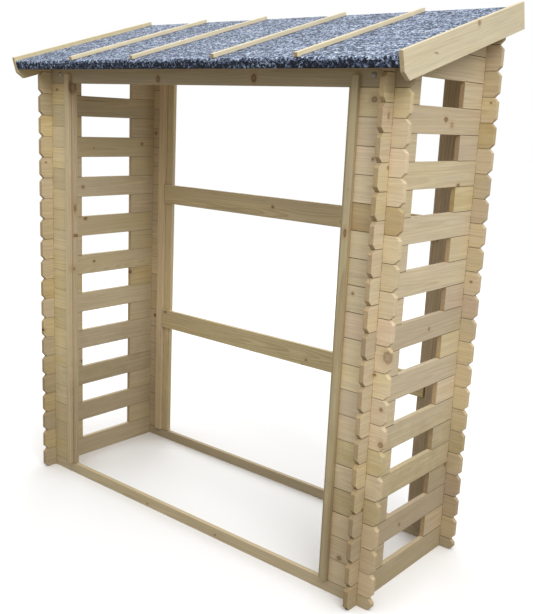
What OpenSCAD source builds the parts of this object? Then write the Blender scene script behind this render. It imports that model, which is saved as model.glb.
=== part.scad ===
// Open-fronted log store: slatted side walls of interlocking boards under a
// lean-to roof. +X is right, +Y is back, +Z is up, and the origin is at the
// middle of the footprint on the ground.

/* [Walls] */
// Width between the outer faces of the side walls
wall_w = 1776; // [1300:1:2400]
// Depth between the outer faces of the front and the back
wall_d = 626; // [480:1:1000]
// Height of one course of boards
course_h = 92; // [70:1:115]
// Thickness of the wall boards
board_t = 19; // [14:0.5:28]
// Courses under the gable boards: a board and a gap take turns
courses = 20; // [12:2:24]
// How far every board runs past the crossing at a corner
end_overlap = 60; // [35:1:90]
// Chamfer on the corners of the boards' free ends
end_chamfer = 16; // [6:1:20]
// Length of the spacer blocks behind the crossing's outer face
block_l = 162; // [60:1:200]

/* [Openings] */
// Distance from a side wall's inner face to the front opening
jamb_inset = 153; // [110:1:300]
// How much nearer to the side walls the back opening's edges are
back_jamb_shift = 12; // [0:1:15]
// Width of the front jambs
front_jamb_w = 37; // [30:1:60]
// Width of the back jambs
back_jamb_w = 74; // [55:1:90]
// Height of the header above its lower edge, at its front face
header_h = 97; // [70:1:130]

/* [Cover strips] */
// Thickness of the cover strips
strip_t = 16; // [10:1:22]
// Width of the strips on the front jambs
front_strip_w = 28; // [20:1:40]
// Width of the strips on the inside of the back jambs
back_strip_w = 42; // [30:1:60]
// Part of a front jamb left showing beside its strip
front_reveal = 16; // [8:1:26]
// Part of a back jamb left showing beside its strip
back_reveal = 42; // [35:1:50]
// How far the strips run up over the header
strip_lap = 38; // [15:1:60]

/* [Back rails] */
// Height of the rails
rail_h = 92; // [60:1:115]
// Thickness of the rails
rail_t = 19; // [14:0.5:28]
// Lower edge of the lower rail
low_rail_z = 612; // [300:1:700]
// Lower edge of the upper rail
high_rail_z = 1250; // [900:1:1400]
// Gap between a rail's end and the strip beside it
rail_gap = 6; // [2:1:12]

/* [Roof] */
// Slope of the roof, in degrees
roof_pitch = 16.5; // [10:0.5:22]
// Gap between the eaves batten and the front ends of the side boards
eaves_gap = 27; // [1:1:40]
// Roof boards past the back ends of the side boards, along the slope
eaves_back = 2; // [0:1:60]
// Gap between the bargeboards and the ends of the front and back boards
eaves_side = 19; // [1:1:40]
// Thickness of the roof boards
deck_t = 19; // [14:0.5:25]
// Number of roof boards
deck_n = 9; // [6:1:12]
// Gap between roof boards
deck_gap = 1; // [0.5:0.1:4]
// Thickness of the roofing felt
felt_t = 3; // [2:0.5:5]
// Height of the eaves batten under the front roof board
eaves_batten_h = 13; // [10:1:40]
// Depth of the eaves batten
eaves_batten_d = 20; // [15:1:30]

/* [Roof battens] */
// Number of battens on each half of the felt
battens_per_half = 2; // [1:1:3]
// Distance between the middle two battens
batten_middle = 424; // [150:1:500]
// Distance from batten to batten further out
batten_pitch = 369; // [150:1:420]
// Width of a batten
batten_w = 16; // [12:1:40]
// Height of a batten
batten_h = 15; // [10:1:30]
// Distance from a batten's front end to the felt's front edge
batten_front = 2; // [0:1:40]
// Distance from a batten's back end to the felt's back edge
batten_back = 20; // [2:1:60]

/* [Bargeboards] */
// Height of the bargeboards
barge_h = 95; // [80:1:130]
// Thickness of the bargeboards
barge_t = 16; // [14:0.5:25]
// How far their top edge stands above the felt
barge_rise = 16; // [1:1:25]
// How far they run past the felt at the front
barge_front = 2; // [1:1:50]
// How far they stop short of the felt's edge at the back
barge_back = 10; // [0:1:30]
// Length of the clipped corner along the lower edge
clip_l = 26; // [15:1:60]
// Height of the clipped corner on the front end
clip_h = 31; // [10:1:60]

/* [Header bolts] */
// Diameter of the domed bolt heads
bolt_d = 20; // [12:1:26]
// Height of the dome
bolt_h = 7; // [4:1:10]
// Distance from the side wall's outer face to a bolt
bolt_inset = 80; // [60:1:95]
// Height of a bolt above the header's lower edge
bolt_rise = 38; // [15:1:60]

/* [Hidden] */
$fn = 48;

left = -1;
right = 1;
front = -1;
back = 1;
cut_margin = 5;

// Boards cross in half laps: each one keeps the middle half of its height.
lap_h = course_h / 4;
half_course = course_h / 2;
chamfer = min(end_chamfer, 0.45 * half_course);

// Heights
header_z = (courses - 0.5) * course_h;
header_top = header_z + header_h;
back_header_z = header_z + course_h;
gable_z = courses * course_h;

// The roof's own frame: its zero is where the boards' underside meets the
// front wall's face, y runs up the slope and z stands square to it.
slope = tan(roof_pitch);
deck_front = -(end_overlap / cos(roof_pitch) + eaves_batten_h * slope + eaves_gap + eaves_batten_d);
deck_back = (wall_d + end_overlap) / cos(roof_pitch) + eaves_back;
felt_front = deck_front - felt_t;
felt_back = deck_back + felt_t;
felt_top = deck_t + felt_t;
barge_top = felt_top + barge_rise;
barge_y0 = felt_front - barge_front;
barge_y1 = felt_back - barge_back;
barge_bottom = barge_top - barge_h;

// The footprint's middle is at y = 0.
foremost = barge_y0 * cos(roof_pitch) - barge_top * sin(roof_pitch);
rearmost = max(felt_back * cos(roof_pitch), barge_y1 * cos(roof_pitch) - barge_bottom * sin(roof_pitch));
wall_y0 = -(foremost + rearmost) / 2;
wall_y1 = wall_y0 + wall_d;

deck_half_w = wall_w / 2 + end_overlap + eaves_side;
jamb_x = wall_w / 2 - board_t - jamb_inset;
wall_top = header_top + 2 * wall_d;

function opening_x(end) = end == front ? jamb_x : jamb_x + back_jamb_shift;

function roof_z(y) = header_top + (y - wall_y0) * slope;

// Frames for the flat outlines: drawn in Y and Z and pushed along X, or
// drawn in X and Z and pushed along Y.
module along_x(x0, length) {
    translate([x0, 0, 0]) rotate([90, 0, 90]) linear_extrude(length) children();
}

module along_y(y0, length) {
    translate([0, y0 + length, 0]) rotate([90, 0, 0]) linear_extrude(length) children();
}

module on_roof() {
    translate([0, wall_y0, header_top]) rotate([roof_pitch, 0, 0]) children();
}

// A board's outline: free ends are chamfered, the others are square.
module board_outline(from, to, bottom, top, from_free = true, to_free = true) {
    a = from_free ? chamfer : 0;
    b = to_free ? chamfer : 0;
    start = a > 0 ? [[from, top - a], [from, bottom + a], [from + a, bottom]]
                  : [[from, top], [from, bottom]];
    finish = b > 0 ? [[to - b, bottom], [to, bottom + b], [to, top - b], [to - b, top]]
                   : [[to, bottom], [to, top]];
    polygon(concat(start, finish, a > 0 ? [[from + a, top]] : []));
}

// Half laps cut into a board's lower and upper edges where it crosses others.
module laps(places, bottom, top, below = true, above = true) {
    for (p = places) {
        if (below) translate([p, bottom - cut_margin]) square([board_t, lap_h + cut_margin]);
        if (above) translate([p, top - lap_h]) square([board_t, lap_h + cut_margin]);
    }
}

// Everything above the underside of the roof boards, seen from the side.
module above_roof() {
    y0 = wall_y0 - wall_d;
    y1 = wall_y1 + wall_d;
    polygon([[y0, roof_z(y0)], [y1, roof_z(y1)], [y1, roof_z(y1) + wall_top], [y0, roof_z(y1) + wall_top]]);
}

wall_crossings = [wall_y0, wall_y1 - board_t];
side_crossings = [-wall_w / 2, wall_w / 2 - board_t];
side_y0 = wall_y0 - end_overlap;
side_y1 = wall_y1 + end_overlap;
cross_x0 = -wall_w / 2 - end_overlap;
cross_x1 = wall_w / 2 + end_overlap;

function side_x0(side) = side == left ? -wall_w / 2 : wall_w / 2 - board_t;
function face_y0(end) = end == front ? wall_y0 : wall_y1 - board_t;

// Side walls: full boards in the even courses
module side_wall_boards(side) {
    for (k = [0 : 2 : courses - 2])
        along_x(side_x0(side), board_t) difference() {
            board_outline(side_y0, side_y1, k * course_h, (k + 1) * course_h);
            laps(wall_crossings, k * course_h, (k + 1) * course_h);
        }
}

// Spacer blocks in the odd courses, at the front or back end of a side wall
module side_blocks(side, end) {
    at_front = end == front;
    from = at_front ? side_y0 : wall_y1 - block_l;
    to = at_front ? wall_y0 + block_l : side_y1;
    for (k = [1 : 2 : courses - 1])
        along_x(side_x0(side), board_t) difference() {
            board_outline(from, to, k * course_h, (k + 1) * course_h, at_front, !at_front);
            laps([face_y0(end)], k * course_h, (k + 1) * course_h);
        }
}

// Gable boards follow the roof's slope. The lowest one laps the header, the
// lower two lap the boards at the back, and the top one takes what is left.
module gable_board(side, level) {
    bottom = gable_z + level * course_h;
    top = bottom + (level < 2 ? course_h : wall_top);
    along_x(side_x0(side), board_t) difference() {
        board_outline(side_y0, side_y1, bottom, top);
        if (level == 0) laps([face_y0(front)], bottom, top, above = false);
        if (level < 2) laps([face_y0(back)], bottom, top);
        above_roof();
    }
}

// Short boards between a corner crossing and a jamb, in every other course
module stubs(side, end, first) {
    jamb_w = end == front ? front_jamb_w : back_jamb_w;
    inner = opening_x(end) + jamb_w;
    last = end == front ? courses - 1 : courses;
    from = side == left ? cross_x0 : inner;
    to = side == left ? -inner : cross_x1;
    for (k = [first : 2 : last])
        along_y(face_y0(end), board_t) difference() {
            board_outline(from, to, (k - 0.5) * course_h, (k + 0.5) * course_h, side == left, side == right);
            laps([side_x0(side)], (k - 0.5) * course_h, (k + 0.5) * course_h);
        }
}

// A full-width board across the front or back
module cross_board(end, bottom, top, below = true) {
    along_y(face_y0(end), board_t) difference() {
        board_outline(cross_x0, cross_x1, bottom, top);
        laps(side_crossings, bottom, top, below = below);
    }
}

// A full-width board whose top edge is planed to the roof's slope. In a lap
// it keeps the stretch from lap_h above its lower edge up to keep_top.
module sloped_cross_board(end, bottom, keep_top) {
    difference() {
        along_y(face_y0(end), board_t) difference() {
            board_outline(cross_x0, cross_x1, bottom, wall_top, false, false);
            for (x = side_crossings) {
                translate([x, bottom - cut_margin]) square([board_t, lap_h + cut_margin]);
                translate([x, keep_top]) square([board_t, wall_top]);
            }
            for (x = [cross_x0, cross_x1])
                translate([x, bottom]) rotate(45) square(chamfer * sqrt(2), center = true);
        }
        along_x(cross_x0 - cut_margin, cross_x1 - cross_x0 + 2 * cut_margin) above_roof();
    }
}

// An upright in the plane of the front or back boards
module jamb(side, end) {
    jamb_w = end == front ? front_jamb_w : back_jamb_w;
    top = end == front ? header_z : back_header_z;
    x0 = side == left ? -opening_x(end) - jamb_w : opening_x(end);
    translate([x0, face_y0(end), half_course]) cube([jamb_w, board_t, top - half_course]);
}

// A strip nailed over the joint of a jamb and its stubs: outside at the
// front, inside at the back.
module strip(side, end) {
    at_front = end == front;
    strip_w = at_front ? front_strip_w : back_strip_w;
    inner = opening_x(end) + (at_front ? front_reveal : back_reveal);
    x0 = side == left ? -inner - strip_w : inner;
    y0 = at_front ? wall_y0 - strip_t : wall_y1 - board_t - strip_t;
    top = (at_front ? header_z : back_header_z) + strip_lap;
    translate([x0, y0, half_course]) cube([strip_w, strip_t, top - half_course]);
}

module back_rail(z0) {
    half_l = opening_x(back) + back_reveal - rail_gap;
    translate([-half_l, wall_y1 - board_t - rail_t, z0]) cube([2 * half_l, rail_t, rail_h]);
}

module bargeboard(side) {
    x0 = side == left ? -deck_half_w - barge_t : deck_half_w;
    on_roof() along_x(x0, barge_t) polygon([
        [barge_y0, barge_top], [barge_y0, barge_bottom + clip_h], [barge_y0 + clip_l, barge_bottom],
        [barge_y1, barge_bottom], [barge_y1, barge_top]
    ]);
}

module threshold() { color("burlywood") cross_board(front, 0, half_course, below = false); }
module back_sill() { color("burlywood") cross_board(back, 0, half_course, below = false); }

module left_wall_boards() { color("wheat") side_wall_boards(left); }
module right_wall_boards() { color("wheat") side_wall_boards(right); }

module left_front_blocks() { color("tan") side_blocks(left, front); }
module left_back_blocks() { color("tan") side_blocks(left, back); }
module right_front_blocks() { color("tan") side_blocks(right, front); }
module right_back_blocks() { color("tan") side_blocks(right, back); }

module left_gable_low() { color("wheat") gable_board(left, 0); }
module left_gable_middle() { color("burlywood") gable_board(left, 1); }
module left_gable_top() { color("wheat") gable_board(left, 2); }
module right_gable_low() { color("wheat") gable_board(right, 0); }
module right_gable_middle() { color("burlywood") gable_board(right, 1); }
module right_gable_top() { color("wheat") gable_board(right, 2); }

module front_left_stubs_odd() { color("burlywood") stubs(left, front, 1); }
module front_left_stubs_even() { color("wheat") stubs(left, front, 2); }
module front_right_stubs_odd() { color("burlywood") stubs(right, front, 1); }
module front_right_stubs_even() { color("wheat") stubs(right, front, 2); }
module back_left_stubs_odd() { color("burlywood") stubs(left, back, 1); }
module back_left_stubs_even() { color("wheat") stubs(left, back, 2); }
module back_right_stubs_odd() { color("burlywood") stubs(right, back, 1); }
module back_right_stubs_even() { color("wheat") stubs(right, back, 2); }

module header() { color("wheat") sloped_cross_board(front, header_z, gable_z + lap_h); }
module back_header_lower() {
    color("wheat") cross_board(back, back_header_z, back_header_z + course_h);
}
module back_header_upper() {
    color("burlywood") sloped_cross_board(back, back_header_z + course_h, gable_z + 2 * course_h);
}

// Domed bolt heads on the header's face, one near each end
module header_bolts() {
    dome_r = (bolt_d * bolt_d / 4 + bolt_h * bolt_h) / (2 * bolt_h);
    color("silver") for (side = [left, right])
        translate([side * (wall_w / 2 - bolt_inset), wall_y0, header_z + bolt_rise]) rotate([90, 0, 0])
            intersection() {
                translate([0, 0, bolt_h - dome_r]) sphere(dome_r);
                cylinder(h = bolt_h + cut_margin, r = bolt_d);
            }
}

module front_left_jamb() { color("peru") jamb(left, front); }
module front_right_jamb() { color("peru") jamb(right, front); }
module back_left_jamb() { color("peru") jamb(left, back); }
module back_right_jamb() { color("peru") jamb(right, back); }

module front_left_strip() { color("wheat") strip(left, front); }
module front_right_strip() { color("wheat") strip(right, front); }
module back_left_strip() { color("wheat") strip(left, back); }
module back_right_strip() { color("wheat") strip(right, back); }

module lower_back_rail() { color("tan") back_rail(low_rail_z); }
module upper_back_rail() { color("tan") back_rail(high_rail_z); }

// Roof boards run from bargeboard to bargeboard.
module roof_boards() {
    pitch = (deck_back - deck_front + deck_gap) / deck_n;
    color("burlywood") on_roof() for (i = [0 : deck_n - 1])
        translate([-deck_half_w, deck_front + i * pitch, 0])
            cube([2 * deck_half_w, pitch - deck_gap, deck_t]);
}

module eaves_batten() {
    color("tan") on_roof() translate([-deck_half_w, deck_front, -eaves_batten_h])
        cube([2 * deck_half_w, eaves_batten_d, eaves_batten_h]);
}

// One sheet over the roof boards, folded down over both of their edges
module roof_felt() {
    color("slategray") on_roof() along_x(-deck_half_w, 2 * deck_half_w) polygon([
        [felt_front, -eaves_batten_h], [deck_front, -eaves_batten_h], [deck_front, deck_t],
        [deck_back, deck_t], [deck_back, 0], [felt_back, 0], [felt_back, felt_top], [felt_front, felt_top]
    ]);
}

module roof_battens() {
    color("wheat") on_roof() for (side = [left, right], i = [0 : battens_per_half - 1])
        translate([side * (batten_middle / 2 + i * batten_pitch) - batten_w / 2, felt_front + batten_front, felt_top])
            cube([batten_w, felt_back - felt_front - batten_front - batten_back, batten_h]);
}

module left_bargeboard() { color("wheat") bargeboard(left); }
module right_bargeboard() { color("wheat") bargeboard(right); }

threshold();
back_sill();
left_wall_boards();
right_wall_boards();
left_front_blocks();
left_back_blocks();
right_front_blocks();
right_back_blocks();
left_gable_low();
left_gable_middle();
left_gable_top();
right_gable_low();
right_gable_middle();
right_gable_top();
front_left_stubs_odd();
front_left_stubs_even();
front_right_stubs_odd();
front_right_stubs_even();
back_left_stubs_odd();
back_left_stubs_even();
back_right_stubs_odd();
back_right_stubs_even();
header();
back_header_lower();
back_header_upper();
header_bolts();
front_left_jamb();
front_right_jamb();
back_left_jamb();
back_right_jamb();
front_left_strip();
front_right_strip();
back_left_strip();
back_right_strip();
lower_back_rail();
upper_back_rail();
roof_boards();
eaves_batten();
roof_felt();
roof_battens();
left_bargeboard();
right_bargeboard();
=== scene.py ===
import math
import random

import bmesh
import bpy
from mathutils import Matrix, Vector, noise
from mathutils.bvhtree import BVHTree


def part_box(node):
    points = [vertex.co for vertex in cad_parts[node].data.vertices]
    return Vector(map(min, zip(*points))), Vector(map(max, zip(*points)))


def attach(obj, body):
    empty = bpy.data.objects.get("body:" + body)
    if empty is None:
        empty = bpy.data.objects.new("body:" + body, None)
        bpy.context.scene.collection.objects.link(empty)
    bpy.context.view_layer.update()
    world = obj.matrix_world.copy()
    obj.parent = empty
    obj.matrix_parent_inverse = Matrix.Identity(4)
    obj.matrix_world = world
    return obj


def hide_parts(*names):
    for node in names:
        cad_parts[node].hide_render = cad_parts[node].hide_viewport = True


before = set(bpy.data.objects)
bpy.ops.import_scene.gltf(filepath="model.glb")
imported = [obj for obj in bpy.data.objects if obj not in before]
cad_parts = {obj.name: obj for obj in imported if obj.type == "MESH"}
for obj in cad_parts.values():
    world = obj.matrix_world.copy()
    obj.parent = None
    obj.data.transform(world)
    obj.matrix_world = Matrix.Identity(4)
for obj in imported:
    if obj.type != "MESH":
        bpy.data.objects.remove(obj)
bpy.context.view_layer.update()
print("frame loaded:", len(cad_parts), "nodes")


# camera

cameraSet = {
    "place": (2.31466, -2.60173, 1.68065),   # metres
    "turn": (77.3715, -2.5172, 39.9837),     # degrees
    "lens": 49.141,                          # mm on a 36 mm long side
}


def makeCamera():
    data = bpy.data.cameras.new("camera")
    data.sensor_width = 36
    data.sensor_fit = "AUTO"
    data.lens = cameraSet["lens"]
    data.clip_start, data.clip_end = 0.05, 200
    camera = bpy.data.objects.new("camera", data)
    camera.location = cameraSet["place"]
    camera.rotation_euler = [math.radians(a) for a in cameraSet["turn"]]
    bpy.context.scene.collection.objects.link(camera)
    bpy.context.scene.camera = camera


makeCamera()
print("camera made")


# small helpers

def feed(tree, socket, value):
    # a socket is linked, anything else becomes the default
    if isinstance(value, bpy.types.NodeSocket):
        tree.links.new(value, socket)
    elif value is not None:
        socket.default_value = value


def addNode(tree, kind, inputs=None, **settings):
    node = tree.nodes.new("ShaderNode" + kind)
    for key, value in settings.items():
        setattr(node, key, value)
    for key, value in (inputs or {}).items():
        feed(tree, node.inputs[key], value)
    return node


def maths(tree, operation, a, b=None, clamp=False):
    node = addNode(tree, "Math", {0: a, 1: b}, operation=operation, use_clamp=clamp)
    return node.outputs[0]


def vectorMaths(tree, operation, a, b=None, out=0):
    return addNode(tree, "VectorMath", {0: a, 1: b}, operation=operation).outputs[out]


def span(tree, value, low, high, toLow=0.0, toHigh=1.0, smooth=True):
    node = addNode(tree, "MapRange", {"Value": value, "From Min": low, "From Max": high,
                                      "To Min": toLow, "To Max": toHigh},
                   interpolation_type="SMOOTHSTEP" if smooth else "LINEAR", clamp=True)
    return node.outputs[0]


def mixColour(tree, amount, a, b, blend="MIX"):
    node = addNode(tree, "Mix", data_type="RGBA", blend_type=blend)
    for index, value in ((0, amount), (6, a), (7, b)):
        feed(tree, node.inputs[index], value)
    return node.outputs[2]


def noiseValue(tree, vector, scale, detail=2.0, roughness=0.5, distortion=0.0):
    return addNode(tree, "TexNoise", {"Vector": vector, "Scale": scale, "Detail": detail,
                                      "Roughness": roughness, "Distortion": distortion}).outputs[0]


def rampColour(tree, value, stops):
    node = addNode(tree, "ValToRGB", {0: value})
    ramp = node.color_ramp
    while len(ramp.elements) < len(stops):
        ramp.elements.new(0.5)
    for element, (place, colour) in zip(ramp.elements, stops):
        element.position, element.color = place, colour
    return node.outputs[0]


def newGroup(name, inputs, outputs):
    kinds = {"F": "NodeSocketFloat", "V": "NodeSocketVector", "C": "NodeSocketColor"}
    group = bpy.data.node_groups.new(name, "ShaderNodeTree")
    for label, kind, value in inputs:
        socket = group.interface.new_socket(label, in_out="INPUT", socket_type=kinds[kind])
        if value is not None:
            socket.default_value = value
    for label, kind in outputs:
        group.interface.new_socket(label, in_out="OUTPUT", socket_type=kinds[kind])
    inside = group.nodes.new("NodeGroupInput")
    outside = group.nodes.new("NodeGroupOutput")
    return group, inside.outputs, outside.inputs


def placeGroup(tree, group, inputs):
    node = tree.nodes.new("ShaderNodeGroup")
    node.node_tree = group
    for key, value in inputs.items():
        feed(tree, node.inputs[key], value)
    return node.outputs


def newMaterial(name):
    material = bpy.data.materials.new(name)
    material.use_nodes = True
    tree = material.node_tree
    tree.nodes.clear()
    shader = tree.nodes.new("ShaderNodeBsdfPrincipled")
    output = tree.nodes.new("ShaderNodeOutputMaterial")
    tree.links.new(shader.outputs[0], output.inputs["Surface"])
    return material, tree, shader


def readAttribute(tree, name, out="Fac"):
    return addNode(tree, "Attribute", attribute_type="GEOMETRY", attribute_name=name).outputs[out]


def finishPiece(name, bm, material, nodes):
    mesh = bpy.data.meshes.new(name)
    bm.to_mesh(mesh)
    bm.free()
    piece = bpy.data.objects.new(name, mesh)
    bpy.context.scene.collection.objects.link(piece)
    mesh.materials.append(material)
    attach(piece, "root")
    if nodes:
        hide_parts(*nodes)
    return piece


# wood effects, shared by the three timbers

ringSet = {
    # noise scales along the grain, across the face and through the board
    "wobble": (1.6, 7.0, 7.0), "fibre": (9.0, 620.0, 620.0),
    "blotch": (2.4, 16.0, 16.0), "streak": (3.0, 95.0, 95.0),
    "unevenScale": 0.35, "unevenShare": 2.2,
    # place in a ring and how dark it is there
    "stops": [(0.0, 0.10), (0.35, 0.12), (0.82, 0.85), (0.93, 1.0), (1.0, 0.12)],
}


def grainNoise(tree, grain, scale, detail, roughness, distortion=0.0):
    stretched = vectorMaths(tree, "MULTIPLY", grain, scale)
    return noiseValue(tree, stretched, 1.0, detail, roughness, distortion)


def makeGrowthRings():
    tree, have, give = newGroup(
        "growthRings",
        [("Grain", "V", None), ("Ring Width", "F", 0.004), ("Wander", "F", 0.01), ("Bulge", "F", 0.0)],
        [("Late Wood", "F"), ("Fibre", "F"), ("Blotch", "F"), ("Streak", "F")])
    grain = have["Grain"]
    wobble = maths(tree, "SUBTRACT", grainNoise(tree, grain, ringSet["wobble"], 3.0, 0.45), 0.5)
    wobble = maths(tree, "MULTIPLY", wobble, have["Wander"])
    flat = vectorMaths(tree, "MULTIPLY", grain, (0.0, 1.0, 1.0))
    radius = vectorMaths(tree, "LENGTH", flat, out=1)
    radius = maths(tree, "ADD", radius, wobble)
    radius = maths(tree, "ADD", radius, have["Bulge"])
    step = maths(tree, "DIVIDE", radius, have["Ring Width"])
    uneven = addNode(tree, "TexNoise", {"W": step, "Scale": ringSet["unevenScale"], "Detail": 1.0},
                     noise_dimensions="1D").outputs[0]
    step = maths(tree, "ADD", step, maths(tree, "MULTIPLY", uneven, ringSet["unevenShare"]))
    stops = [(at, (level, level, level, 1)) for at, level in ringSet["stops"]]
    feed(tree, give["Late Wood"], rampColour(tree, maths(tree, "FRACT", step), stops))
    feed(tree, give["Fibre"], grainNoise(tree, grain, ringSet["fibre"], 3.0, 0.6))
    feed(tree, give["Blotch"], grainNoise(tree, grain, ringSet["blotch"], 2.0, 0.55))
    feed(tree, give["Streak"], grainNoise(tree, grain, ringSet["streak"], 3.0, 0.6, 0.4))
    return tree


knotSet = {   # reach is the distance from the middle, one at the rim
    "middleDark": 0.55, "ripples": 17.0, "rippleShare": 0.10,
    "ragged": 0.5,                # how far the outline wanders
    "scatteredNoise": 160.0, "placedNoise": 170.0,
    "scatteredCore": (1.25, 0.75), "placedCore": (1.25, 0.7),
    "haloReach": (2.8, 0.8), "bulgeReach": (3.4, 0.6),
    "randomness": 0.9, "stretch": (0.72, 1.0, 0.0), "sizeSpread": (0.35, 1.35),
}


def knotRings(tree, reach):
    # a knot's own rings: darkest at the rim, paler towards the middle
    rim = span(tree, reach, 0.25, 0.95, knotSet["middleDark"], 1.0)
    ripple = maths(tree, "SINE", maths(tree, "MULTIPLY", reach, knotSet["ripples"]))
    return maths(tree, "ADD", rim, maths(tree, "MULTIPLY", ripple, knotSet["rippleShare"]))


def raggedReach(tree, distance, place, scale):
    ragged = maths(tree, "MULTIPLY", noiseValue(tree, place, scale, 2.0), knotSet["ragged"])
    return maths(tree, "ADD", distance, maths(tree, "SUBTRACT", ragged, knotSet["ragged"] / 2))


def makeScatteredKnots():
    tree, have, give = newGroup(
        "scatteredKnots",
        [("Grain", "V", None), ("Along", "F", 0.30), ("Across", "F", 0.12), ("Share", "F", 0.3),
         ("Size", "F", 0.009)],
        [("Core", "F"), ("Halo", "F"), ("Bulge", "F")])
    cell = addNode(tree, "CombineXYZ", {0: have["Along"], 1: have["Across"], 2: 1.0}).outputs[0]
    flat = vectorMaths(tree, "MULTIPLY", have["Grain"], (1.0, 1.0, 0.0))
    spread = vectorMaths(tree, "DIVIDE", flat, cell)
    cells = addNode(tree, "TexVoronoi",
                    {"Vector": spread, "Scale": 1.0, "Randomness": knotSet["randomness"]},
                    voronoi_dimensions="2D", feature="F1")
    away = vectorMaths(tree, "SUBTRACT", spread, cells.outputs["Position"])
    away = vectorMaths(tree, "MULTIPLY", vectorMaths(tree, "MULTIPLY", away, cell), knotSet["stretch"])
    dice = addNode(tree, "SeparateColor", {0: cells.outputs["Color"]}).outputs
    spreadSize = span(tree, dice[1], 0.0, 1.0, *knotSet["sizeSpread"], smooth=False)
    size = maths(tree, "MULTIPLY", have["Size"], spreadSize)
    distance = maths(tree, "DIVIDE", vectorMaths(tree, "LENGTH", away, out=1), size)
    reach = raggedReach(tree, distance, have["Grain"], knotSet["scatteredNoise"])
    there = maths(tree, "LESS_THAN", dice[0], have["Share"])
    core = maths(tree, "MULTIPLY", span(tree, reach, *knotSet["scatteredCore"]), there)
    core = maths(tree, "MULTIPLY", core, knotRings(tree, reach))
    halo = maths(tree, "MULTIPLY", span(tree, reach, *knotSet["haloReach"]), there)
    bulge = maths(tree, "MULTIPLY", span(tree, reach, *knotSet["bulgeReach"]), there)
    feed(tree, give["Core"], core)
    feed(tree, give["Halo"], halo)
    feed(tree, give["Bulge"], maths(tree, "MULTIPLY", bulge, size))
    return tree


def makePlacedKnot():
    # one knot at a chosen place, in the object's own coordinates
    tree, have, give = newGroup(
        "placedKnot",
        [("Place", "V", None), ("Centre", "V", None), ("Size", "V", (0.01, 0.01, 0.01)),
         ("Strength", "F", 1.0), ("Core So Far", "F", 0.0), ("Halo So Far", "F", 0.0)],
        [("Core", "F"), ("Halo", "F")])
    away = vectorMaths(tree, "SUBTRACT", have["Place"], have["Centre"])
    away = vectorMaths(tree, "DIVIDE", away, have["Size"])
    distance = vectorMaths(tree, "LENGTH", away, out=1)
    reach = raggedReach(tree, distance, have["Place"], knotSet["placedNoise"])
    core = maths(tree, "MULTIPLY", span(tree, reach, *knotSet["placedCore"]), have["Strength"])
    core = maths(tree, "MULTIPLY", core, knotRings(tree, reach))
    halo = maths(tree, "MULTIPLY", span(tree, reach, *knotSet["haloReach"]), have["Strength"])
    feed(tree, give["Core"], maths(tree, "MAXIMUM", core, have["Core So Far"]))
    feed(tree, give["Halo"], maths(tree, "MAXIMUM", halo, have["Halo So Far"]))
    return tree


mixSet = {
    "blotchWarmth": 0.7, "blotchBlush": -0.6, "yellowing": 1.5, "heartFrom": 0.55, "heartGain": 2.0,
    "endContrast": 0.25, "fibre": (0.91, 1.08), "streak": (0.90, 1.08), "haloShare": 0.5, "coreShare": 0.9,
}


def makeTimberColour():
    tree, have, give = newGroup(
        "timberColour",
        [("Early", "C", None), ("Late", "C", None), ("Yellow", "C", None), ("Pink", "C", None),
         ("Heart", "C", None), ("Knot", "C", None), ("Late Wood", "F", 0.0), ("Fibre", "F", 0.5),
         ("Blotch", "F", 0.5), ("Streak", "F", 0.5), ("Core", "F", 0.0), ("Halo", "F", 0.0),
         ("Tone", "F", 0.5), ("Warmth", "F", 0.0), ("Blush", "F", 0.0), ("End Grain And Shade", "F", 0.0),
         ("Contrast", "F", 0.4)],
        [("Colour", "C")])
    spread = maths(tree, "SUBTRACT", have["Blotch"], 0.5)
    warm = maths(tree, "ADD", have["Warmth"], maths(tree, "MULTIPLY", spread, mixSet["blotchWarmth"]))
    yellowing = maths(tree, "MULTIPLY", warm, mixSet["yellowing"], clamp=True)
    pale = mixColour(tree, yellowing, have["Early"], have["Yellow"])
    blush = maths(tree, "MULTIPLY", spread, mixSet["blotchBlush"])
    blush = maths(tree, "ADD", have["Blush"], blush, clamp=True)
    pale = mixColour(tree, blush, pale, have["Pink"])
    browning = maths(tree, "SUBTRACT", warm, mixSet["heartFrom"])
    browning = maths(tree, "MULTIPLY", browning, mixSet["heartGain"], clamp=True)
    pale = mixColour(tree, browning, pale, have["Heart"])
    contrast = maths(tree, "MULTIPLY", have["End Grain And Shade"], mixSet["endContrast"])
    contrast = maths(tree, "ADD", have["Contrast"], contrast)
    late = maths(tree, "MULTIPLY", have["Late Wood"], contrast, clamp=True)
    colour = mixColour(tree, late, pale, have["Late"])
    fibre = span(tree, have["Fibre"], 0.25, 0.75, *mixSet["fibre"], smooth=False)
    streak = span(tree, have["Streak"], 0.28, 0.72, *mixSet["streak"], smooth=False)
    level = maths(tree, "MULTIPLY", fibre, streak)
    level = maths(tree, "MULTIPLY", level, maths(tree, "ADD", have["Tone"], 0.5))
    scaled = addNode(tree, "VectorMath", {0: colour, "Scale": level}, operation="SCALE").outputs[0]
    halo = maths(tree, "MULTIPLY", have["Halo"], mixSet["haloShare"])
    ringed = mixColour(tree, halo, scaled, have["Heart"])
    core = maths(tree, "MULTIPLY", have["Core"], mixSet["coreShare"], clamp=True)
    dark = mixColour(tree, core, ringed, have["Knot"])
    feed(tree, give["Colour"], dark)
    return tree


lowDarkPatchSet = {"mottleScale": 18.0, "fullBelow": -0.03, "patchScale": 5.0, "patchEdge": (0.35, 0.72)}


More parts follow.
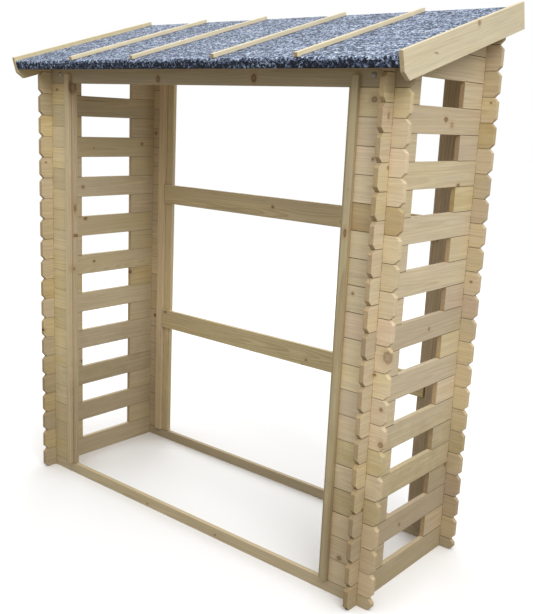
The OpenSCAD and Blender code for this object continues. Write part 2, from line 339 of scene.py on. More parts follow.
def makeLowDarkAndPatches():
    # darker towards the ground, and faint patches
    tree, have, give = newGroup(
        "lowDarkAndPatches",
        [("Place", "V", None), ("Dark Height", "F", 0.12)],
        [("Low Dark", "F"), ("Patch", "F")])
    height = addNode(tree, "SeparateXYZ", {0: have["Place"]}).outputs[2]
    mottled = noiseValue(tree, have["Place"], lowDarkPatchSet["mottleScale"], 4.0, 0.6)
    above = maths(tree, "SUBTRACT", height, maths(tree, "MULTIPLY", mottled, have["Dark Height"]))
    feed(tree, give["Low Dark"], span(tree, above, have["Dark Height"], lowDarkPatchSet["fullBelow"]))
    patches = noiseValue(tree, have["Place"], lowDarkPatchSet["patchScale"], 3.0, 0.5)
    feed(tree, give["Patch"], span(tree, patches, *lowDarkPatchSet["patchEdge"]))
    return tree


growthRings = makeGrowthRings()
scatteredKnots = makeScatteredKnots()
placedKnot = makePlacedKnot()
timberColour = makeTimberColour()
lowDarkAndPatches = makeLowDarkAndPatches()
print("wood effects made")


def makeTimber(name, look):
    material, tree, shader = newMaterial(name)
    place = addNode(tree, "TexCoord").outputs["Object"]
    grain = readAttribute(tree, "grainPlace", "Vector")
    board = addNode(tree, "SeparateColor", {0: readAttribute(tree, "boardLook", "Color")}).outputs
    knotShare = readAttribute(tree, "boardLook", "Alpha")
    endGrainAndShade = readAttribute(tree, "endGrainAndShade")
    easedEdge = readAttribute(tree, "easedEdge")
    joint = readAttribute(tree, "jointShade")
    knots = placeGroup(tree, scatteredKnots, {
        "Grain": grain, "Along": look["knotAlong"], "Across": look["knotAcross"],
        "Share": knotShare, "Size": look["knotSize"]})
    core, halo = knots["Core"], knots["Halo"]
    for centre, size, strength in look["placedKnots"]:
        one = placeGroup(tree, placedKnot, {
            "Place": place, "Centre": centre, "Size": size, "Strength": strength,
            "Core So Far": core, "Halo So Far": halo})
        core, halo = one["Core"], one["Halo"]
    ringWidth = maths(tree, "MULTIPLY", readAttribute(tree, "ringScale"), look["ringWidth"])
    bulge = maths(tree, "ADD", knots["Bulge"], maths(tree, "MULTIPLY", halo, look["haloBulge"]))
    rings = placeGroup(tree, growthRings, {
        "Grain": grain, "Ring Width": ringWidth, "Wander": look["wander"], "Bulge": bulge})
    colour = placeGroup(tree, timberColour, {
        "Early": look["early"], "Late": look["late"], "Yellow": look["yellow"], "Pink": look["pink"],
        "Heart": look["heart"], "Knot": look["knot"],
        "Late Wood": rings["Late Wood"], "Fibre": rings["Fibre"], "Blotch": rings["Blotch"],
        "Streak": rings["Streak"], "Core": core, "Halo": halo, "Tone": board[0], "Warmth": board[1],
        "Blush": board[2], "End Grain And Shade": endGrainAndShade, "Contrast": look["contrast"]})["Colour"]
    lowDarkPatch = placeGroup(tree, lowDarkAndPatches, {"Place": place, "Dark Height": look["lowDarkHeight"]})
    for amount, tint in ((maths(tree, "MULTIPLY", lowDarkPatch["Patch"], look["patch"]), look["patchColour"]),
                         # darker towards the ground
                         (maths(tree, "MULTIPLY", lowDarkPatch["Low Dark"], look["lowDark"]), look["lowDarkColour"]),
                         # the sawn ends: partly the end grain's own colour, partly painted shade
                         (maths(tree, "MULTIPLY", endGrainAndShade, look["endShade"]), look["endColour"]),
                         (maths(tree, "MULTIPLY", easedEdge, look["edgeShade"]), look["edgeColour"]),
                         # painted shade in the joints between the boards
                         (joint, look["jointColour"])):
        colour = mixColour(tree, amount, colour, tint, "MULTIPLY")
    feed(tree, shader.inputs["Base Color"], colour)
    rough = maths(tree, "ADD", look["rough"], maths(tree, "MULTIPLY", rings["Late Wood"], look["lateRough"]))
    rough = maths(tree, "ADD", rough, maths(tree, "MULTIPLY", endGrainAndShade, look["endRough"]), clamp=True)
    feed(tree, shader.inputs["Roughness"], rough)
    height = maths(tree, "ADD", maths(tree, "MULTIPLY", rings["Late Wood"], look["lateRise"]),
                   maths(tree, "MULTIPLY", rings["Fibre"], look["fibreRise"]))
    height = maths(tree, "SUBTRACT", height, maths(tree, "MULTIPLY", core, look["knotDip"]))
    bump = addNode(tree, "Bump", {"Height": height, "Strength": look["bump"], "Distance": look["bumpDepth"]})
    feed(tree, shader.inputs["Normal"], bump.outputs[0])
    shader.inputs["Specular IOR Level"].default_value = look["gloss"]
    return material


wallTimberLook = {
    "early": (0.73, 0.615, 0.42, 1), "late": (0.53, 0.38, 0.20, 1), "yellow": (0.75, 0.62, 0.33, 1),
    "pink": (0.69, 0.535, 0.40, 1), "heart": (0.52, 0.31, 0.14, 1), "knot": (0.12, 0.055, 0.025, 1),
    "ringWidth": 0.0055, "wander": 0.022, "contrast": 0.36,
    "knotAlong": 0.40, "knotAcross": 0.12, "knotSize": 0.0065,
    "lowDarkHeight": 0.50, "lowDark": 0.55, "lowDarkColour": (0.62, 0.57, 0.50, 1),
    "patch": 0.14, "patchColour": (0.80, 0.77, 0.72, 1),
    "endShade": 0.70, "endColour": (0.66, 0.55, 0.42, 1),
    "edgeShade": 0.08, "edgeColour": (0.80, 0.70, 0.55, 1),
    "jointColour": (0.16, 0.10, 0.06, 1),
    "rough": 0.66, "lateRough": -0.10, "endRough": 0.15, "gloss": 0.35,
    "bump": 0.55, "bumpDepth": 0.0006, "lateRise": 0.35, "fibreRise": 0.65, "knotDip": 0.4,
    "haloBulge": 0.004,
    "placedKnots": [   # centre and radii in metres, strength
        ((-0.187, -0.2865, 1.815), (0.011, 0.02, 0.013), 0.85),
        ((0.307, -0.2865, 1.820), (0.012, 0.02, 0.015), 0.95),
        ((0.816, -0.2865, 1.757), (0.011, 0.02, 0.009), 0.75),
        ((0.826, -0.2865, 1.571), (0.005, 0.02, 0.005), 0.8),
        ((0.783, -0.2865, 1.122), (0.005, 0.02, 0.005), 0.9),
        ((0.802, -0.2865, 0.152), (0.009, 0.02, 0.008), 0.8),
        ((0.888, -0.311, 1.708), (0.02, 0.006, 0.011), 0.7),
        ((0.937, -0.2865, 0.931), (0.017, 0.02, 0.021), 0.6),
        ((0.937, -0.2865, 0.624), (0.010, 0.02, 0.010), 0.8),
        ((0.928, -0.2865, 0.748), (0.006, 0.02, 0.006), 0.9),
        ((0.893, -0.2865, 0.862), (0.005, 0.02, 0.005), 0.9),
        ((0.888, 0.107, 1.689), (0.02, 0.012, 0.010), 0.5),
        ((0.888, 0.072, 0.961), (0.02, 0.007, 0.007), 0.7),
        ((0.888, 0.306, 0.359), (0.02, 0.009, 0.008), 0.8),
        ((0.888, -0.026, 0.220), (0.02, 0.007, 0.006), 0.8),
        ((0.924, 0.3205, 1.774), (0.004, 0.02, 0.004), 0.9),
        ((0.915, 0.3205, 1.110), (0.005, 0.02, 0.005), 0.9),
        ((-0.869, -0.119, 1.334), (0.02, 0.008, 0.007), 0.8),
        ((-0.869, 0.244, 1.534), (0.02, 0.008, 0.007), 0.8),
        ((-0.851, 0.3205, 1.589), (0.007, 0.02, 0.007), 0.8),
        ((-0.869, -0.045, 1.728), (0.02, 0.075, 0.0011), 0.9),
        ((0.852, 0.3205, 1.605), (0.012, 0.02, 0.014), 0.9),
        ((0.852, 0.3205, 1.285), (0.006, 0.02, 0.006), 0.9),
    ],
}
trimTimberLook = dict(
    wallTimberLook, early=(0.605, 0.505, 0.335, 1), late=(0.41, 0.285, 0.14, 1), contrast=0.5,
    placedKnots=[
        ((0.747, -0.3025, 1.324), (0.006, 0.02, 0.014), 0.95),
        ((-0.724, -0.2865, 1.780), (0.013, 0.02, 0.034), 0.7),
        ((-0.707, -0.2865, 1.259), (0.011, 0.02, 0.026), 0.85),
        ((-0.720, -0.3025, 0.985), (0.009, 0.02, 0.012), 0.9),
        ((-0.062, 0.3015, 1.300), (0.007, 0.02, 0.006), 0.9),
        ((0.170, 0.3015, 0.640), (0.006, 0.02, 0.005), 0.8),
    ])
roofTimberLook = dict(
    wallTimberLook, early=(0.76, 0.66, 0.46, 1), late=(0.62, 0.51, 0.32, 1), lowDarkHeight=0.0, lowDark=0.0,
    placedKnots=[
        ((0.983, 0.053, 2.020), (0.02, 0.009, 0.008), 0.8),
        ((0.983, -0.215, 1.902), (0.02, 0.010, 0.002), 0.9),
    ])

wallTimber = makeTimber("wallTimber", wallTimberLook)
trimTimber = makeTimber("trimTimber", trimTimberLook)
roofTimber = makeTimber("roofTimber", roofTimberLook)
print("timbers made")


# boards

def slopeOf(node):
    # the slope of the node's broadest upper face
    face = max(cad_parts[node].data.polygons, key=lambda f: f.area * f.normal.z)
    return math.atan2(-face.normal.y, face.normal.z)


roofPitch = slopeOf("roof_felt")
upSlope = Vector((0, math.cos(roofPitch), math.sin(roofPitch)))
offSlope = Vector((0, -math.sin(roofPitch), math.cos(roofPitch)))
axisX, axisY, axisZ = Vector((1, 0, 0)), Vector((0, 1, 0)), Vector((0, 0, 1))
grainWays = {   # along the grain, across the board's face, through its thickness
    "across": (axisX, axisZ, axisY),
    "deep": (axisY, axisZ, axisX),
    "upright": (axisZ, axisX, axisY),
    "roofBoard": (axisX, upSlope, offSlope),
    "roofBatten": (upSlope, axisX, offSlope),
    "barge": (upSlope, offSlope, axisX),
}

boardSet = {
    "mergeGap": 1e-5,          # metres
    "easedEdge": 0.0013,       # radius of a planed board's edges
    "edgeSegments": 2,
    "sharpAngle": 20, "flatAngle": 1,          # degrees
    "endLean": 0.6,            # how squarely a face looks along the grain to count as a sawn end
    "shiftSpan": 60,           # metres of timber that the boards are taken from
    "pithAcross": 0.030, "pithDeep": (0.018, 0.060), "pithLean": 0.014,     # where the tree's heart lies
    "tone": (0.51, 0.055), "warmth": (0.17, 0.15), "blush": (0.14, 0.20),   # middle and spread
    "knotShare": (0.0, 0.5), "ringScale": (0.6, 1.5),
    "jointReach": 0.0024, "jointDepth": (0.55, 1.0),
    # how dark the sawn ends are, at the low end and at the high end of a board: end grain and painted shade
    # painted shade: the deep boards' front ends and the battens' low ends are darker than their other ends
    "endGrainAndShade": {"across": (0.35, 0.35), "deep": (1.0, 0.6), "upright": (0.8, 0.8), "roofBoard": (0.6, 0.6),
                 "roofBatten": (1.4, 0.8), "barge": (0.8, 0.8)},
}


def islandsOf(bm):
    seen, found = set(), []
    for start in bm.faces:
        if start in seen:
            continue
        seen.add(start)
        stack, island = [start], []
        while stack:
            face = stack.pop()
            island.append(face)
            for edge in face.edges:
                for other in edge.link_faces:
                    if other not in seen:
                        seen.add(other)
                        stack.append(other)
        found.append(island)
    return found


def middleOf(points):
    low = Vector([min(p[i] for p in points) for i in range(3)])
    high = Vector([max(p[i] for p in points) for i in range(3)])
    return (low + high) / 2


def wovenName(node):
    # front_left_jamb becomes frontLeftJamb
    return "".join(w.capitalize() if i else w for i, w in enumerate(node.split("_")))


def cadCopy(node):
    bm = bmesh.new()
    bm.from_mesh(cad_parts[node].data)
    bmesh.ops.remove_doubles(bm, verts=bm.verts, dist=boardSet["mergeGap"])
    bmesh.ops.dissolve_limit(bm, angle_limit=math.radians(boardSet["flatAngle"]), verts=bm.verts,
                             edges=bm.edges)
    return bm


def endsOfBoards(nodes):
    # every place where some board begins or ends, along X, Y and Z
    ends = [set(), set(), set()]
    for node in nodes:
        bm = cadCopy(node)
        for island in islandsOf(bm):
            for axis in range(3):
                values = [v.co[axis] for f in island for v in f.verts]
                ends[axis] |= {min(values), max(values)}
        bm.free()
    ends = [sorted(e) for e in ends]
    return [[b for a, b in zip([-10] + e, e) if b - a > 10 * boardSet["mergeGap"]] for e in ends]


def sliceBoards(bm, along):
    # cuts across the grain wherever another board begins or ends: a joint then has its own stretch of edge
    for axis in range(3):
        if along[axis] == 1:
            for place in boardEnds[axis]:
                bmesh.ops.bisect_plane(bm, geom=bm.verts[:] + bm.edges[:] + bm.faces[:],
                                       dist=boardSet["mergeGap"], plane_co=along * place, plane_no=along)


def makeLayers(bm):
    faces, verts = bm.faces.layers, bm.verts.layers
    return {
        "easedEdge": faces.float.new("easedEdge"), "endGrainAndShade": faces.float.new("endGrainAndShade"),
        "jointShade": faces.float.new("jointShade"), "boardNumber": faces.int.new("boardNumber"),
        "grainPlace": verts.float_vector.new("grainPlace"), "ringScale": verts.float.new("ringScale"),
        "boardLook": verts.float_color.new("boardLook"),
    }


def easeEdges(bm, layers):
    sharpAngle = math.radians(boardSet["sharpAngle"])
    sharp = [e for e in bm.edges if e.is_manifold and e.calc_face_angle(0) > sharpAngle]
    made = bmesh.ops.bevel(bm, geom=sharp, offset=boardSet["easedEdge"], offset_type="OFFSET",
                           segments=boardSet["edgeSegments"], profile=0.5, affect="EDGES",
                           clamp_overlap=True, material=-1)
    for face in made["faces"]:
        face[layers["easedEdge"]] = 1.0
    bm.normal_update()


def markEnds(bm, layers, way):
    along, endLean = grainWays[way][0], boardSet["endLean"]
    lowEnd, highEnd = boardSet["endGrainAndShade"][way]
    # each end gets its darkness from boardSet, partly end grain, partly painted shade
    for face in bm.faces:
        lean = face.normal.dot(along)
        face[layers["endGrainAndShade"]] = lowEnd if lean < -endLean else highEnd if lean > endLean else 0.0


def dealBoard(dice, node, index):
    # one board's growth and look; the order of the draws matters
    growth = {
        "shift": dice.uniform(0, boardSet["shiftSpan"]),
        "pith": (dice.gauss(0, boardSet["pithAcross"]),
                 dice.choice((-1, 1)) * dice.uniform(*boardSet["pithDeep"])),
        "lean": (dice.gauss(0, boardSet["pithLean"]), dice.gauss(0, boardSet["pithLean"])),
        "rings": dice.uniform(*boardSet["ringScale"]),
    }
    bias = nodeTones.get(node, (0, 0, 0))
    look = [dice.gauss(*boardSet[k]) + b for k, b in zip(("tone", "warmth", "blush"), bias)]
    look = [max(0.0, v) for v in look] + [dice.uniform(*boardSet["knotShare"])]
    tones = boardTones.get(node, {})
    if index in tones:
        look[:3] = tones[index]
    if node in plainBoards:
        look[3] = 0.0
    return growth, look


def makeBoards(node, way, material):
    along, across, deep = grainWays[way]
    dice = random.Random(node)
    bm = cadCopy(node)
    sliceBoards(bm, along)
    layers = makeLayers(bm)
    easeEdges(bm, layers)
    markEnds(bm, layers, way)
    boards = [(middleOf([v.co for f in island for v in f.verts]), island) for island in islandsOf(bm)]
    boards.sort(key=lambda b: (round(b[0].z, 3), round(b[0].x, 3), round(b[0].y, 3)))
    for index, (middle, island) in enumerate(boards):
        growth, look = dealBoard(dice, node, index)
        pith, lean = growth["pith"], growth["lean"]
        boardOwners.append(node)
        for face in island:
            face[layers["boardNumber"]] = len(boardOwners)
        for vert in {v for f in island for v in f.verts}:
            away = vert.co - middle
            run = away.dot(along)
            vert[layers["grainPlace"]] = Vector((run + growth["shift"],
                                                 away.dot(across) + pith[0] + lean[0] * run,
                                                 away.dot(deep) + pith[1] + lean[1] * run))
            vert[layers["boardLook"]] = look
            vert[layers["ringScale"]] = growth["rings"]
    boardPieces.append(finishPiece(wovenName(node), bm, material, [node]))


def shadeJoints():
    # painted shade: the eased edges that meet another board are painted dark, for the shadow in the joint
    verts, faces, owners = [], [], []
    for piece in boardPieces:
        mesh, first = piece.data, len(verts)
        verts += [v.co.copy() for v in mesh.vertices]
        faces += [[first + i for i in f.vertices] for f in mesh.polygons]
        owners += [v.value for v in mesh.attributes["boardNumber"].data]
    tree = BVHTree.FromPolygons(verts, faces)
    dice = random.Random("joints")
    # boards are numbered from one, in the order they were made
    depth = [0.0]
    for node in boardOwners:
        depth.append(dice.uniform(*boardSet["jointDepth"]) * faintJoints.get(node, 1.0))
    start = 0
    for piece in boardPieces:
        mesh = piece.data
        eased = [v.value for v in mesh.attributes["easedEdge"].data]
        shades = [0.0] * len(mesh.polygons)
        for face in mesh.polygons:
            own = owners[start + face.index]
            if eased[face.index]:
                near = tree.find_nearest_range(face.center, boardSet["jointReach"])
                if any(owners[hit[2]] != own for hit in near):
                    shades[face.index] = depth[own]
        mesh.attributes["jointShade"].data.foreach_set("value", shades)
        start += len(mesh.polygons)


wallNodes = {   # the wall timbers' nodes by the way their grain runs
    "across": ["threshold", "back_sill", "header", "back_header_lower", "back_header_upper",
               "front_left_stubs_odd", "front_left_stubs_even", "front_right_stubs_odd",
               "front_right_stubs_even", "back_left_stubs_odd", "back_left_stubs_even",
               "back_right_stubs_odd", "back_right_stubs_even"],
    "deep": ["left_wall_boards", "right_wall_boards", "left_front_blocks", "left_back_blocks",
             "right_front_blocks", "right_back_blocks", "left_gable_low", "left_gable_middle",
             "left_gable_top", "right_gable_low", "right_gable_middle", "right_gable_top"],
}
nodeTones = {   # tone, warmth and blush added to all the boards of a node
    # painted shade: the header is toned darker for the shade under the eaves
    "header": (-0.21, 0.05, 0.15),
    "front_left_stubs_odd": (0.13, 0.18, -0.45), "front_left_stubs_even": (0.13, 0.18, -0.45),
    "left_front_blocks": (0.03, 0.12, -0.30), "left_wall_boards": (-0.04, -0.14, -0.35),
    "right_wall_boards": (-0.08, -0.05, -0.05), "back_left_stubs_odd": (0.0, -0.1, -0.25),
    "back_left_stubs_even": (0.0, -0.1, -0.25), "left_back_blocks": (0.0, -0.05, -0.25),
    "front_right_stubs_odd": (0.18, -0.06, 0.0), "front_right_stubs_even": (0.18, -0.06, 0.0),
    "back_left_strip": (0.38, -0.15, 0.0), "back_left_jamb": (0.22, 0.0, 0.0),
    "back_right_jamb": (-0.12, -0.10, 0.0), "back_right_strip": (-0.10, -0.15, 0.0),
    "lower_back_rail": (0.16, 0.05, 0.0), "upper_back_rail": (0.12, 0.05, 0.0),
    # painted shade: the front right jamb and strip are toned darker for the shade under the eaves
    "front_right_jamb": (-0.14, 0.12, 0.0), "front_right_strip": (-0.14, 0.12, 0.0),
    "front_left_strip": (0.12, -0.05, 0.0), "roof_battens": (0.12, -0.25, -0.30),
    "right_bargeboard": (-0.05, -0.30, -0.10), "left_bargeboard": (0.08, -0.10, -0.30),
}
plainBoards = ("right_bargeboard", "header")   # these have only their placed knots
faintJoints = {   # share of the usual darkness between the boards
    "front_left_stubs_odd": 0.45, "front_left_stubs_even": 0.45, "left_back_blocks": 0.6,
    "left_wall_boards": 0.6, "back_left_stubs_odd": 0.7, "back_left_stubs_even": 0.7,
}
boardTones = {   # tone, warmth and blush of single boards, counted from the ground
    "front_right_stubs_odd": {7: (0.46, 0.80, 0.10)},
    "front_right_stubs_even": {1: (0.50, 0.50, 0.1), 2: (0.52, 0.45, 0.1)},
    "right_back_blocks": {7: (0.48, 0.60, 0.0)},
    "back_right_stubs_even": {8: (0.42, 0.66, 0.1)},
    "front_left_stubs_even": {3: (0.48, 0.55, 0.0)},
    "left_front_blocks": {4: (0.50, 0.60, 0.0)},
    "left_back_blocks": {4: (0.46, 0.62, 0.0)},
}
boardOwners, boardPieces = [], []
# the ends that matter belong to the pieces that stand square
squareNodes = [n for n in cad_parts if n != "header_bolts" and "roof" not in n and "barge" not in n]
boardEnds = endsOfBoards(squareNodes)
for way, names in wallNodes.items():
    for node in names:
        makeBoards(node, way, wallTimber)
for node in ("front_left_jamb", "front_right_jamb", "back_left_jamb", "back_right_jamb",
             "front_left_strip", "front_right_strip", "back_left_strip", "back_right_strip"):
    makeBoards(node, "upright", trimTimber)
for node in ("lower_back_rail", "upper_back_rail"):
    makeBoards(node, "across", trimTimber)
for node, way in (("roof_boards", "roofBoard"), ("eaves_batten", "roofBoard"), ("roof_battens", "roofBatten"),
                  ("left_bargeboard", "barge"), ("right_bargeboard", "barge")):
    makeBoards(node, way, roofTimber)
shadeJoints()
print("boards made:", len(boardOwners))


# zinc bolts and nails

metalSet = {
    "zinc": (0.62, 0.64, 0.66, 1), "dull": (0.30, 0.31, 0.32, 1), "rough": (0.30, 0.62),
    "metallic": 0.9, "spangleScale": 520.0, "spangleShare": 0.4, "cloudScale": 140.0,
    "bump": 0.25, "bumpDepth": 0.0004,
    "arcSteps": 9, "spinSteps": 32,
    "nailHead": 0.0026, "nailRise": 0.0007, "nailTaper": 0.8, "nailSides": 12,
    "nailEnd": 0.020, "nailSpacing": 0.38, "nailStagger": 0.003,
}


def makeZinc():
    material, tree, shader = newMaterial("zincPlate")
    place = addNode(tree, "TexCoord").outputs["Object"]
    spangle = addNode(tree, "TexVoronoi", {"Vector": place, "Scale": metalSet["spangleScale"]}, feature="F1")
    cloud = noiseValue(tree, place, metalSet["cloudScale"], 3.0, 0.6)
    dice = addNode(tree, "SeparateColor", {0: spangle.outputs["Color"]}).outputs[0]
    spangled = maths(tree, "MULTIPLY", dice, metalSet["spangleShare"])
    dull = span(tree, maths(tree, "ADD", spangled, cloud), 0.45, 1.0)
    feed(tree, shader.inputs["Base Color"], mixColour(tree, dull, metalSet["zinc"], metalSet["dull"]))
    feed(tree, shader.inputs["Roughness"], span(tree, dull, 0.0, 1.0, *metalSet["rough"], smooth=False))
    bump = addNode(tree, "Bump", {"Height": cloud, "Strength": metalSet["bump"],
                                  "Distance": metalSet["bumpDepth"]})
    feed(tree, shader.inputs["Normal"], bump.outputs[0])
    shader.inputs["Metallic"].default_value = metalSet["metallic"]
    return material


def makeBolts(material):
    bm = bmesh.new()
    heads = cadCopy("header_bolts")
    for island in islandsOf(heads):
        points = [v.co for f in island for v in f.verts]
        middle = middleOf(points)
        high = max(p.y for p in points) - min(p.y for p in points)
        wide = (max(p.x for p in points) - min(p.x for p in points)) / 2
        foot = Vector((middle.x, max(p.y for p in points), middle.z))
        half = math.atan2(high, wide) * 2          # half the angle that the dome spans
        ball = wide / math.sin(half)
        arc = [half * i / metalSet["arcSteps"] for i in range(metalSet["arcSteps"] + 1)]
        line = [foot + Vector((ball * math.sin(a), ball - high - ball * math.cos(a), 0)) for a in arc]
        line.append(foot)
        verts = [bm.verts.new(p) for p in line]
        edges = [bm.edges.new(pair) for pair in zip(verts, verts[1:])]
        bmesh.ops.spin(bm, geom=verts + edges, cent=foot, axis=(0, 1, 0), angle=math.tau,
                       steps=metalSet["spinSteps"], use_merge=True)
    heads.free()
    bmesh.ops.remove_doubles(bm, verts=bm.verts, dist=boardSet["mergeGap"])
    bmesh.ops.recalc_face_normals(bm, faces=bm.faces)
    for face in bm.faces:
        face.smooth = True
    finishPiece("headerBolts", bm, material, ["header_bolts"])


def nailPlaces():
    # points on the boards' faces and the way out of each face
    end = metalSet["nailEnd"]
    places = []
    for node in ("lower_back_rail", "upper_back_rail"):
        low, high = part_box(node)
        corners = [(x, z) for x in (low.x + end, high.x - end) for z in (low.z + end, high.z - end)]
        places += [((x, low.y, z), -axisY) for x, z in corners]
    for node in ("front_left_strip", "front_right_strip", "back_left_strip", "back_right_strip"):
        low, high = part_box(node)
        count = round((high.z - low.z) / metalSet["nailSpacing"])
        for i in range(count + 1):
            z = low.z + 2 * end + (high.z - low.z - 3 * end) * i / count
            x = (low.x + high.x) / 2 + metalSet["nailStagger"] * (-1) ** i
            places.append(((x, low.y, z), -axisY))
    return [(Vector(p), out) for p, out in places]


def makeNails(material):
    bm = bmesh.new()
    for place, out in nailPlaces():
        turn = out.to_track_quat("Z", "Y").to_matrix().to_4x4()
        bmesh.ops.create_cone(bm, cap_ends=True, cap_tris=False, segments=metalSet["nailSides"],
                              radius1=metalSet["nailHead"], depth=2 * metalSet["nailRise"],
                              radius2=metalSet["nailHead"] * metalSet["nailTaper"],
                              matrix=Matrix.Translation(place) @ turn)
    finishPiece("nails", bm, material, [])


zincPlate = makeZinc()
makeBolts(zincPlate)
makeNails(zincPlate)
print("bolts and nails made")


# roofing felt

feltSet = {
    "thickness": 0.003, "foldRadius": 0.008, "foldSegments": 6,
    "columns": 220, "rows": 90, "hemRows": 4, "ripple": 0.0006, "rippleScale": 9.0, "backHem": 0.019,
    "flakes": 150.0, "chips": 330.0, "clumps": 75.0, "warps": 60.0,     # per metre
    "warp": 0.010, "drift": (6.0, 22.0, 22.0),
    # how much each pattern adds to the brightness
    "flakeShare": 0.46, "chipShare": 0.26, "clumpShare": 1.15, "driftShare": 0.35,
    "foldDark": 0.17, "foldRagged": 1.2,
    "rough": (0.55, 0.95), "gloss": 0.4, "chipDip": 0.8, "bump": 0.9, "bumpDepth": 0.0014,
    "stops": [(0.15, (0.010, 0.013, 0.022, 1)), (0.32, (0.065, 0.09, 0.16, 1)),
              (0.48, (0.27, 0.34, 0.49, 1)), (0.62, (0.57, 0.66, 0.81, 1)), (0.78, (0.92, 0.95, 1.0, 1))],
}


def noisePush(tree, vector, scale, far):
    # a push in every direction, about zero
    node = addNode(tree, "TexNoise", {"Vector": vector, "Scale": scale, "Detail": 2.0})
    push = vectorMaths(tree, "SUBTRACT", node.outputs["Color"], (0.5, 0.5, 0.5))
    return vectorMaths(tree, "MULTIPLY", push, (far, far, far))


def chipCells(tree, place, scale):
    return addNode(tree, "TexVoronoi", {"Vector": place, "Scale": scale, "Randomness": 1.0}, feature="F1")


def swing(tree, value, share):
    # a pattern's departure from its middle, times its share
    return maths(tree, "MULTIPLY", maths(tree, "SUBTRACT", value, 0.5), share)


def makeFeltMaterial():
    material, tree, shader = newMaterial("roofFelt")
    place = addNode(tree, "TexCoord").outputs["Object"]
    fold = readAttribute(tree, "foldShade")
    bent = vectorMaths(tree, "ADD", place, noisePush(tree, place, feltSet["warps"], feltSet["warp"]))
    flakes = chipCells(tree, bent, feltSet["flakes"])
    flake = addNode(tree, "SeparateColor", {0: flakes.outputs["Color"]}).outputs
    chips = chipCells(tree, place, feltSet["chips"])
    chip = addNode(tree, "SeparateColor", {0: chips.outputs["Color"]}).outputs
    clump = noiseValue(tree, place, feltSet["clumps"], 3.0, 0.7)
    drift = grainNoise(tree, place, feltSet["drift"], 3.0, 0.6)
    value = maths(tree, "ADD", maths(tree, "MULTIPLY", flake[0], feltSet["flakeShare"]),
                  maths(tree, "MULTIPLY", chip[0], feltSet["chipShare"]))
    value = maths(tree, "ADD", value, swing(tree, clump, feltSet["clumpShare"]))
    value = maths(tree, "ADD", value, swing(tree, drift, feltSet["driftShare"]))
    # painted shade: the folded-down edges are darkened with a ragged border, partly the shade on the faces
    # that hang down, partly a darker look of the felt there
    ragged = span(tree, maths(tree, "ADD", fold, swing(tree, clump, feltSet["foldRagged"])), 0.35, 0.75)
    value = maths(tree, "SUBTRACT", value, maths(tree, "MULTIPLY", ragged, feltSet["foldDark"]))
    feed(tree, shader.inputs["Base Color"], rampColour(tree, value, feltSet["stops"]))
    feed(tree, shader.inputs["Roughness"], span(tree, chip[1], 0.0, 1.0, *feltSet["rough"], smooth=False))
    dip = maths(tree, "MULTIPLY", chips.outputs["Distance"], feltSet["chipDip"])
    bump = addNode(tree, "Bump", {"Height": maths(tree, "SUBTRACT", clump, dip), "Strength": feltSet["bump"],
                                  "Distance": feltSet["bumpDepth"]})
    feed(tree, shader.inputs["Normal"], bump.outputs[0])
    shader.inputs["Specular IOR Level"].default_value = feltSet["gloss"]
    return material


def lengthAlong(edge, way):
    return abs((edge.verts[0].co - edge.verts[1].co).dot(way))


def roofOrigin():
    # where the roof boards' underside meets the header's front face
    low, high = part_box("header")
    return Vector((0, low.y, high.z - (high.y - low.y) * math.tan(roofPitch)))


def drawFeltSection(bm, corners):
    # the felt's line at one side, with its bends rounded and its stretches divided
    line = [bm.verts.new(c) for c in corners]
    for a, b in zip(line, line[1:]):
        bm.edges.new((a, b))
    bmesh.ops.bevel(bm, geom=line[1:3], offset=feltSet["foldRadius"], offset_type="OFFSET",
                    segments=feltSet["foldSegments"], profile=0.5, affect="VERTICES", clamp_overlap=True,
                    material=-1)
    longest = max(bm.edges, key=lambda e: e.calc_length())
    bmesh.ops.subdivide_edges(bm, edges=[longest], cuts=feltSet["rows"])
    hems = [e for e in bm.edges if lengthAlong(e, offSlope) > feltSet["foldRadius"]]
    bmesh.ops.subdivide_edges(bm, edges=hems, cuts=feltSet["hemRows"])


def pullFeltAcross(bm, wide):
    step = wide / feltSet["columns"]
    edges = list(bm.edges)
    for column in range(feltSet["columns"]):
        made = bmesh.ops.extrude_edge_only(bm, edges=edges)["geom"]
        verts = [g for g in made if isinstance(g, bmesh.types.BMVert)]
        bmesh.ops.translate(bm, verts=verts, vec=(step, 0, 0))
        edges = [g for g in made if isinstance(g, bmesh.types.BMEdge) and lengthAlong(g, axisX) < step / 2]
    bmesh.ops.recalc_face_normals(bm, faces=bm.faces)
    if sum(f.normal.z for f in bm.faces) < 0:
        bmesh.ops.reverse_faces(bm, faces=bm.faces)


def makeFelt():
    origin = roofOrigin()
    low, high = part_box("roof_felt")
    points = [v.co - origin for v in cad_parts["roof_felt"].data.vertices]
    runs, rises = [p.dot(upSlope) for p in points], [p.dot(offSlope) for p in points]
    front, back, bottom, top = min(runs), max(runs), min(rises), max(rises)
    backBottom = top - feltSet["backHem"] - feltSet["thickness"]
    corners = [(front, bottom), (front, top), (back, top), (back, backBottom)]
    bm = bmesh.new()
    drawFeltSection(bm, [origin + upSlope * run + offSlope * rise + axisX * low.x for run, rise in corners])
    pullFeltAcross(bm, high.x - low.x)
    bmesh.ops.solidify(bm, geom=bm.faces, thickness=feltSet["thickness"])
    shadeLayer = bm.verts.layers.float.new("foldShade")
    for vert in bm.verts:
        rise = (vert.co - origin).dot(offSlope)
        # painted shade mask: one on the folded-down edges, nought on the top
        vert[shadeLayer] = 1.0 if rise < top - feltSet["foldRadius"] else 0.0
        lift = noise.noise(vert.co * feltSet["rippleScale"]) * feltSet["ripple"]
        vert.co += offSlope * (lift - feltSet["ripple"])
    for face in bm.faces:
        face.smooth = True
    finishPiece("roofFelt", bm, makeFeltMaterial(), ["roof_felt"])


makeFelt()
print("felt made")


# floor, light and sky

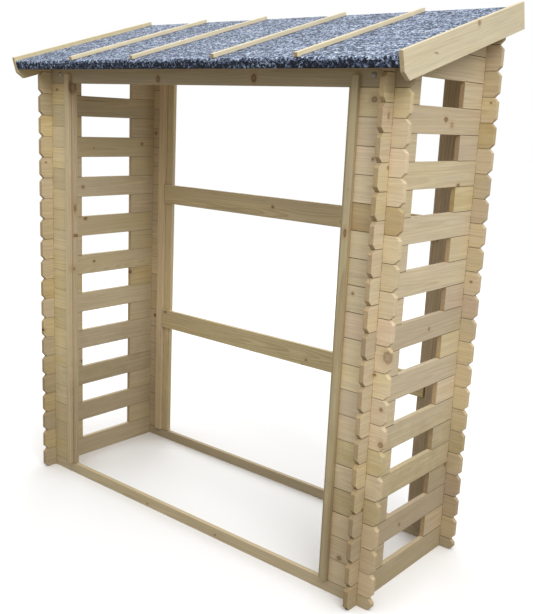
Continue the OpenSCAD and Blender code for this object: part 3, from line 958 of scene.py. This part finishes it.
stageSet = {
    "floorSize": 80.0, "floorSeen": (0.98, 0.97, 0.965, 1), "floorBounce": (0.29, 0.28, 0.265, 1),
    "skySeen": (1.0, 1.0, 1.0, 1), "horizonLight": 0.36, "zenithLight": 1.42, "groundLight": 0.25,
    "skyTint": (0.97, 0.99, 1.0, 1),
    "lights": [   # name, place, aim, size, power
        ("softBox", (3.9, -2.2, 4.3), (0, 0, 1.0), 2.6, 104),
        ("backFill", (-3.6, 3.8, 3.4), (0, 0, 1.0), 2.6, 60),
    ],
}


def cameraOnly(tree, seen, other):
    # what the camera sees directly against what lights the scene
    path = addNode(tree, "LightPath")
    mix = tree.nodes.new("ShaderNodeMixShader")
    feed(tree, mix.inputs[0], path.outputs["Is Camera Ray"])
    tree.links.new(other, mix.inputs[1])
    tree.links.new(seen, mix.inputs[2])
    return mix.outputs[0]


def makeFloor():
    bm = bmesh.new()
    bmesh.ops.create_grid(bm, x_segments=1, y_segments=1, size=stageSet["floorSize"] / 2)
    mesh = bpy.data.meshes.new("floor")
    bm.to_mesh(mesh)
    bm.free()
    floor = bpy.data.objects.new("floor", mesh)
    bpy.context.scene.collection.objects.link(floor)
    material = bpy.data.materials.new("paleFloor")
    material.use_nodes = True
    tree = material.node_tree
    tree.nodes.clear()
    seen = addNode(tree, "BsdfDiffuse", {"Color": stageSet["floorSeen"]}).outputs[0]
    bounce = addNode(tree, "BsdfDiffuse", {"Color": stageSet["floorBounce"]}).outputs[0]
    feed(tree, addNode(tree, "OutputMaterial").inputs["Surface"], cameraOnly(tree, seen, bounce))
    mesh.materials.append(material)


def makeSky():
    world = bpy.data.worlds.new("studio")
    world.use_nodes = True
    tree = world.node_tree
    tree.nodes.clear()
    rise = addNode(tree, "SeparateXYZ", {0: addNode(tree, "TexCoord").outputs["Generated"]}).outputs[2]
    upper = span(tree, rise, 0.0, 1.0, stageSet["horizonLight"], stageSet["zenithLight"], smooth=False)
    lower = span(tree, rise, -0.05, 0.0, stageSet["groundLight"], 10.0, smooth=False)
    level = maths(tree, "MINIMUM", upper, lower)
    lit = addNode(tree, "Background", {0: stageSet["skyTint"], 1: level}).outputs[0]
    seen = addNode(tree, "Background", {0: stageSet["skySeen"], 1: 1.0}).outputs[0]
    feed(tree, addNode(tree, "OutputWorld").inputs["Surface"], cameraOnly(tree, seen, lit))
    bpy.context.scene.world = world


def makeLights():
    for name, place, aim, size, power in stageSet["lights"]:
        data = bpy.data.lights.new(name, "AREA")
        data.shape, data.size, data.energy = "SQUARE", size, power
        light = bpy.data.objects.new(name, data)
        light.location = place
        light.rotation_euler = (Vector(aim) - Vector(place)).to_track_quat("-Z", "Y").to_euler()
        bpy.context.scene.collection.objects.link(light)


def makeStage():
    makeFloor()
    makeSky()
    makeLights()
    bpy.context.scene.view_settings.view_transform = "Standard"


makeStage()
print("stage made")
